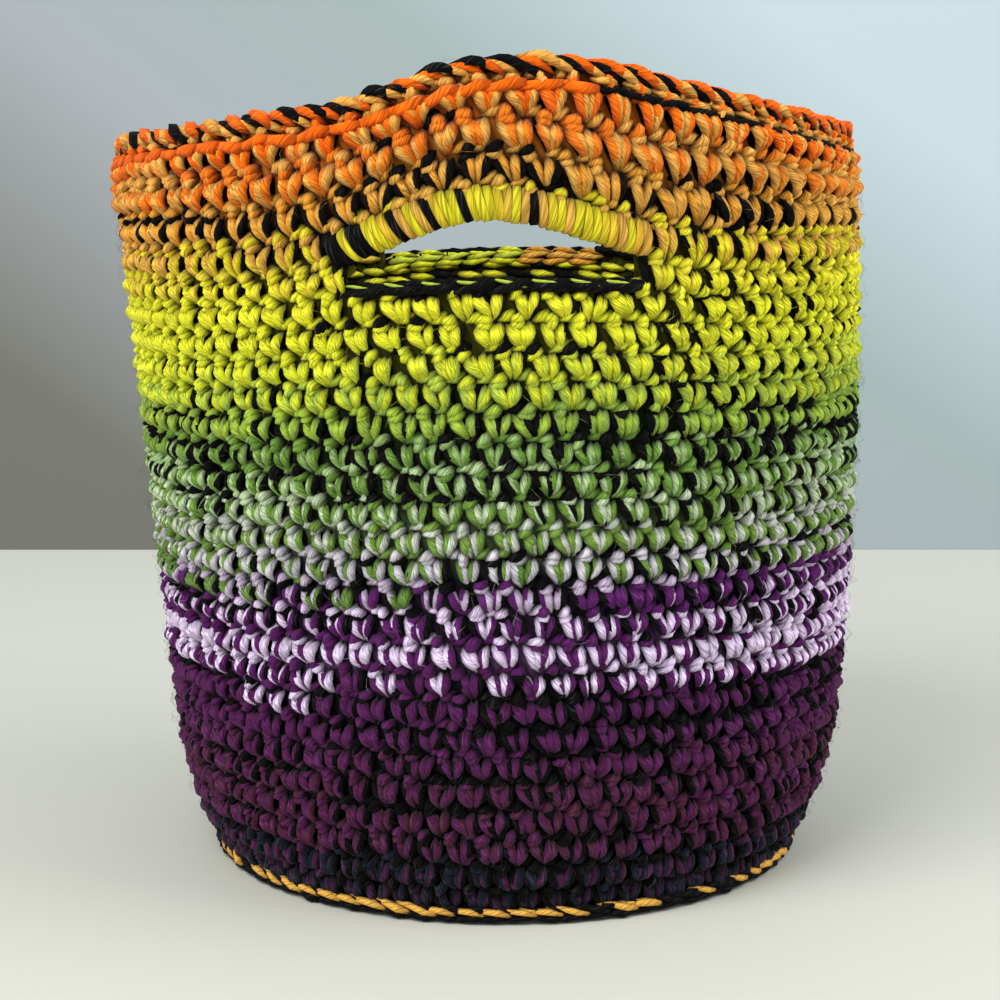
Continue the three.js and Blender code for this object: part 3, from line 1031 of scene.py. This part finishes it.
def slot_angles(facing, spacing, overlap):
    """Angles along one slot at an even spacing, reaching past both ends."""
    reach = SLOT_ANGLE + overlap
    count = int(round(2 * reach / (spacing * STITCH_ANGLE)))
    return facing + np.linspace(-reach, reach, count)


WRAPS_PER_STITCH = 4
BLACK_WRAPS_END = 0.14  # radians right of the middle; most of every fourth wrap is black up to here
DARK_END = -0.31  # and three of four up to here


def handle_piece():
    """The handle bands: strands wrapped side by side round a chain, leaning a little."""
    parts = []
    for facing in (FRONT, BACK):
        angle = slot_angles(facing, 1 / WRAPS_PER_STITCH, 0.02)
        count = len(angle)
        turn = np.arange(count) % WRAPS_PER_STITCH
        middle = wall(BAND_ROUND, angle, WALL_THICKNESS / 2)
        ahead = wall(BAND_ROUND, angle + 0.01, WALL_THICKNESS / 2)
        run = unit(ahead - middle)
        outward = wall_outward(BAND_ROUND, angle)
        across = np.cross(outward, run)
        lean = run + (0.22 + rng.normal(0, 0.06, (count, 1))) * across
        black = (turn == 0) & (rng.random(count) < np.where(angle < facing + BLACK_WRAPS_END, 0.95, 0.2))
        black |= (angle < facing + DARK_END) & (turn != 2)
        strand = np.where(black, BLACK, np.where(rng.random(count) < 0.15, COLOUR_TWO, COLOUR_ONE))
        place = place_of(BAND_ROUND - 0.05, angle) + rng.normal(0, 0.28, count)
        girth = np.array([0.97, 1.0, 1.04, 1.0])[turn] + rng.normal(0, 0.015, count)
        half = lean * BAND_DIAMETER / 2
        thick = girth * BAND_DIAMETER / STRAND
        parts.append(stretches(middle - half, middle + half, outward, strand, place, thick, WRAP_SHAPE))
    return laid_yarn("handle_bands", parts, 0.02)


# Places along the yarn of the strands in the sills
BACK_SILL_GOLD, BACK_SILL_LIME = 3.3, 8.2  # inside the back sill, right and left seen from the front
BACK_SILL_CHANGE = -0.08  # radians from its middle
SILL_LINE_PLACE = 8.6  # the thin lines


def sill_piece():
    """The chain along each sill: black loops with thin lines of colour between them."""
    parts = []
    for facing in (FRONT, BACK):
        angle = slot_angles(facing, 1.0, -0.05)
        count = len(angle)
        outward = flat_outward(angle)
        place = place_of(SILL_ROUND, angle)
        inside_place, black_crowns = place, 1.0
        if facing == BACK:
            inside_place = np.where(angle < BACK + BACK_SILL_CHANGE, BACK_SILL_GOLD, BACK_SILL_LIME)
            black_crowns = 0.35
        crown = np.where(rng.random(count) < black_crowns, BLACK, COLOUR_ONE)

        def sill(ahead, across, height):
            base = wall(SILL_ROUND, angle + ahead * STITCH_ANGLE, WALL_THICKNESS / 2 - across * MM)
            return base + height * MM * UP

        def link(start, end, facing_to, strand, girth, at=place):
            """One strand of each link, its ends as stitches ahead, mm across and mm up."""
            shape = any_shape(LOW, count)
            parts.append(stretches(sill(*start), sill(*end), facing_to, strand, at, girth, shape))

        link((-0.8, 2.4, 0.4), (0.75, 2.8, 2.2), outward + 0.4 * UP, BLACK, 1.25)
        link((-0.5, 1.2, 2.0), (0.9, 1.6, 3.0), outward + 0.6 * UP, BLACK, 1.15)
        link((-0.75, 1.6, 3.9), (0.5, 4.1, 1.6), UP + outward, COLOUR_TWO, 0.52, SILL_LINE_PLACE)
        link((-0.7, 0.0, 0.6), (0.7, 0.0, 0.6), UP, BLACK, 1.4)
        link((-0.75, -2.2, 2.0), (0.4, 1.0, 2.6), UP, crown, 1.15, inside_place)
        link((-0.45, -2.6, 1.2), (0.7, 0.4, 1.4), UP, COLOUR_ONE, 0.9, inside_place)
        link((-0.8, -2.8, 1.6), (0.6, -3.4, 0.4), 0.3 * UP - outward, COLOUR_TWO, 1.15, inside_place)
        link((-0.5, -3.0, -0.6), (0.8, -3.2, -1.6), -outward, COLOUR_ONE, 1.15, inside_place)
        for side in (-1, 1):
            inward = side * np.array([math.sin(facing), -math.cos(facing), 0.0])
            for beyond, across in ((0.3, 1.6), (0.4, -0.6)):
                end = facing + side * (SLOT_ANGLE + beyond * STITCH_ANGLE)
                foot = wall(SILL_ROUND - 0.1, end, WALL_THICKNESS / 2 - across * MM)
                top = wall(BAND_ROUND + 0.2, end, WALL_THICKNESS / 2 - across * MM)
                parts.append(stretches(foot, top, inward, BLACK, place[0], 1.2, LOW[0]))
    return laid_yarn("slot_sills", parts, 0.03)


def welt_piece():
    """The loops left standing round the base edge, gold and black."""
    parts = []
    angle = STITCH_ANGLE * np.arange(STITCHES_PER_ROUND)
    count = len(angle)
    outward = flat_outward(angle, 0.1)
    no_gold = rng.random(count) < np.where(degrees_from_slot(angle) > LITTLE_GOLD_START, 0.4, 0.08)

    def link(start, end, strand, girth):
        """One strand of each link, its ends as stitches ahead, mm out from the base edge and mm up."""
        ends = []
        for ahead, reach, height in (start, end):
            uneven = rng.normal(0, 0.08, count)
            around = angle + (ahead + uneven) * STITCH_ANGLE
            ends.append(slouched(PROFILE_RADII[0] + reach * MM, height * MM, around))
        shape = any_shape(LOW, count)
        thick = girth * rng.normal(1, 0.1, count)
        parts.append(stretches(ends[0], ends[1], outward, strand, GOLD_PLACE, thick, shape))

    link((-1.0, 1.4, 5.4), (0.72, 2.4, 2.9), np.where(no_gold, BLACK, COLOUR_TWO), 1.0)
    link((-0.1, 0.6, 6.0), (0.9, 2.0, 3.4), BLACK, 0.9)
    link((-0.7, 1.4, 1.85), (0.7, 1.8, 1.85), BLACK, 0.95)
    return laid_yarn("base_welt", parts, 0.03)


WALL_FIBRES, RIM_FIBRES = 2900, 850


def fibre_piece():
    """Loose fibres that stand off the yarn of the wall and the rim."""
    count = WALL_FIBRES
    rounds = rng.uniform(0, RIM_ROUND - 0.5, count)
    angle = rng.uniform(0, TURN, count)
    in_slot = np.abs(degrees_from_slot(angle)) < math.degrees(SLOT_ANGLE)
    in_slot &= np.abs(rounds - OPEN_ROUND) < 1.2
    swing = rng.uniform(0, TURN, count)
    reach = rng.uniform(0.2, 0.42, count)
    strand = rng.integers(0, 3, count)
    shape = any_shape(HAIR, count)
    ends = []
    for way in (-1, 1):
        around = angle + way * reach * np.cos(swing) * STITCH_ANGLE
        ends.append(wall(rounds + way * reach * np.sin(swing), around, rng.uniform(-1.4, 0.4, count) * MM))
    facing, place = wall_outward(rounds, angle), place_of(rounds, angle)
    on_wall = chosen(stretches(*ends, facing, strand, place, FIBRE_GIRTH, shape), ~in_slot)

    count = RIM_FIBRES
    angle = rng.uniform(0, TURN, count)
    tilt = rng.uniform(0, 1, (count, 1))
    start = rim(angle, rng.uniform(0, 3, count) * MM, rng.uniform(3, 5.6, count) * MM)
    aside = rng.uniform(-0.7, 0.7, count) * STITCH_ANGLE
    end = rim(angle + aside, rng.uniform(0, 3, count) * MM, rng.uniform(3, 7, count) * MM)
    facing = flat_outward(angle) * (1 - tilt) + UP * tilt
    shape = any_shape(HAIR, count)
    strand = rng.integers(0, 3, count)
    on_rim = stretches(start, end, facing, strand, place_of(RIM_ROUND + 0.5, angle), FIBRE_GIRTH, shape)
    return laid_yarn("loose_fibres", [on_wall, on_rim])


def backing_piece():
    """The middle of the fabric behind the strands, so that no light comes through between stitches."""
    lines = np.arange(-0.5, RIM_ROUND + 0.01, 1.0)
    columns = 2 * STITCHES_PER_ROUND
    angles = TURN * np.arange(columns) / columns
    depth = WALL_THICKNESS * 0.6
    base_radii = (1 * MM, 50 * MM, 102 * MM)
    rings = [slouched(np.full(columns, radius), 3.6 * MM, angles) for radius in base_radii]
    rings += [wall(np.full(columns, line), angles, depth) for line in lines]
    rings.append(rim(angles, WALL_THICKNESS / 2 - depth, 2.5 * MM))
    points = np.vstack(rings)
    line_of = [None] * len(base_radii) + list(lines) + [RIM_ROUND + 0.5]
    place = np.concatenate([place_of(0 if line is None else line, angles) for line in line_of])
    faces, uvs = [], []
    for r in range(len(rings) - 1):
        for c in range(columns):
            d = (c + 1) % columns
            middle = angles[c] + math.pi / columns
            in_slot = abs(float(degrees_from_slot(middle))) < math.degrees(SLOT_ANGLE)
            if in_slot and line_of[r] is not None and SILL_ROUND <= line_of[r] < HEAD_ROUND + 0.5:
                continue
            a, b = r * columns, (r + 1) * columns
            faces.append((a + c, a + d, b + d, b + c))
            uvs += [(0.5 * (c + i) + 0.5 * (r + j), r + j) for i, j in ((0, 0), (1, 0), (1, 1), (0, 1))]
    mesh = bpy.data.meshes.new("fabric_backing")
    mesh.from_pydata(points.tolist(), [], faces)
    mesh.attributes.new("place", "FLOAT", "POINT").data.foreach_set("value", place.astype(np.float32))
    mesh.uv_layers.new(name="yarn_uv").data.foreach_set("uv", np.ravel(uvs))
    # its colours are each round's yarn, darkened as painted shade of the fabric's depth
    mesh.materials.append(depth_of_fabric_shade)
    piece = bpy.data.objects.new("fabric_backing", mesh)
    bpy.context.scene.collection.objects.link(piece)
    shell = piece.modifiers.new("Thickness", "SOLIDIFY")
    shell.thickness = 1.0 * MM
    shell.offset = 0
    return as_plain_mesh(piece)


pieces = wall_pieces()
pieces += [inside_piece(), base_piece(), rim_piece(), handle_piece()]
pieces += [sill_piece(), welt_piece(), fibre_piece(), backing_piece()]

for shape in list(SHAPES.objects):
    bpy.data.objects.remove(shape)
bpy.data.collections.remove(SHAPES)

for piece in pieces:
    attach(piece, "root")
    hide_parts("crochet_bag")


# Stage

TABLE_COLOUR = "#C5C5BA"
BACKDROP_LIGHT_COLOURS = [(0.0, "#717166"), (0.4, "#A9AFB2"), (0.7, "#A1B2AF"), (1.0, "#C4D5D9")]
TABLE_FRONT, TABLE_BACK = -2.0, 0.62
TABLE_HALF = 2.5
BACKDROP_Y = 1.6
BACKDROP_LOW, BACKDROP_TOP = -1.2, 2.0
BACKDROP_LIGHT_SLOPE = (0.773, 0.0, 1.055)  # painted light and shade: the backdrop grows lighter upward and to the right
BACKDROP_LIGHT_MIDDLE = 0.373


def stage_sheet(name, near, far):
    """A plain matt sheet under or behind the bag, between two edges at (y, z), and its surface shader."""
    mesh = bpy.data.meshes.new(name)
    corners = [(-TABLE_HALF, *near), (TABLE_HALF, *near), (TABLE_HALF, *far), (-TABLE_HALF, *far)]
    mesh.from_pydata(corners, [], [(0, 1, 2, 3)])
    sheet = bpy.data.objects.new(name, mesh)
    bpy.context.scene.collection.objects.link(sheet)
    material, tree, surface = matt_material(name + " paper", 0.7)
    mesh.materials.append(material)
    return tree, surface


_, table_surface = stage_sheet("table", (TABLE_FRONT, 0), (TABLE_BACK, 0))
table_surface.inputs["Base Color"].default_value = linear(TABLE_COLOUR)

wall_tree, wall_surface = stage_sheet("backdrop", (BACKDROP_Y, BACKDROP_LOW), (BACKDROP_Y, BACKDROP_TOP))
# The backdrop's colour ramp is painted light and shade, dark at the lower left and light at the upper right
wall_place = add(wall_tree, "ShaderNodeTexCoord").outputs["Object"]
wall_slope = add(
    wall_tree, "ShaderNodeVectorMath", {"operation": "DOT_PRODUCT"}, {0: wall_place, 1: BACKDROP_LIGHT_SLOPE}
).outputs["Value"]
wall_share = add(wall_tree, "ShaderNodeMath", {"operation": "ADD"}, {0: wall_slope, 1: BACKDROP_LIGHT_MIDDLE})
backdrop_light_ramp = add(wall_tree, "ShaderNodeValToRGB", None, {"Fac": wall_share})
for number, (at, colour) in enumerate(BACKDROP_LIGHT_COLOURS):
    stops = backdrop_light_ramp.color_ramp.elements
    stop = stops[number] if number < 2 else stops.new(at)
    stop.position = at
    stop.color = linear(colour)
wall_tree.links.new(backdrop_light_ramp.outputs["Color"], wall_surface.inputs["Base Color"])


# Light


def soft_light(name, place, aim, side, watts):
    """A large square lamp."""
    lamp = bpy.data.lights.new(name, "AREA")
    lamp.size = side
    lamp.energy = watts
    holder = bpy.data.objects.new(name, lamp)
    holder.location = place
    direction = np.subtract(aim, place)
    turn = math.atan2(direction[0], -direction[1])
    tilt = math.atan2(math.hypot(direction[0], direction[1]), -direction[2])
    holder.rotation_euler = (tilt, 0, turn + math.pi)
    bpy.context.scene.collection.objects.link(holder)


soft_light("window_light", (-0.8, -1.0, 1.35), (0, 0, 0.12), 1.2, 27.5)
soft_light("fill_light", (1.25, -0.25, 1.0), (0.35, 0.1, 0.05), 1.2, 13)

world = bpy.data.worlds.new("Room light")
bpy.context.scene.world = world
world.use_nodes = True
room = world.node_tree.nodes["Background"]
room.inputs["Color"].default_value = linear("#EEF1F5")
room.inputs["Strength"].default_value = 0.84
bpy.context.scene.view_settings.view_transform = "Standard"


# Camera at the photograph's angle

IMAGE_SIDE = 1000
FOCAL_PIXELS = 2350
CAMERA_DISTANCE = 845 * MM
CAMERA_HEIGHT = 245 * MM
HORIZON_ROW = 158

lens = bpy.data.cameras.new("photo_camera")
lens.sensor_width = 36
lens.lens = lens.sensor_width * FOCAL_PIXELS / IMAGE_SIDE
lens.clip_start = 0.01
camera = bpy.data.objects.new("photo_camera", lens)
pitch = math.atan((IMAGE_SIDE / 2 - HORIZON_ROW) / FOCAL_PIXELS)
camera.location = (1.0 * MM, -CAMERA_DISTANCE, CAMERA_HEIGHT)
camera.rotation_euler = (math.pi / 2 - pitch, 0, 0)
bpy.context.scene.collection.objects.link(camera)
bpy.context.scene.camera = camera
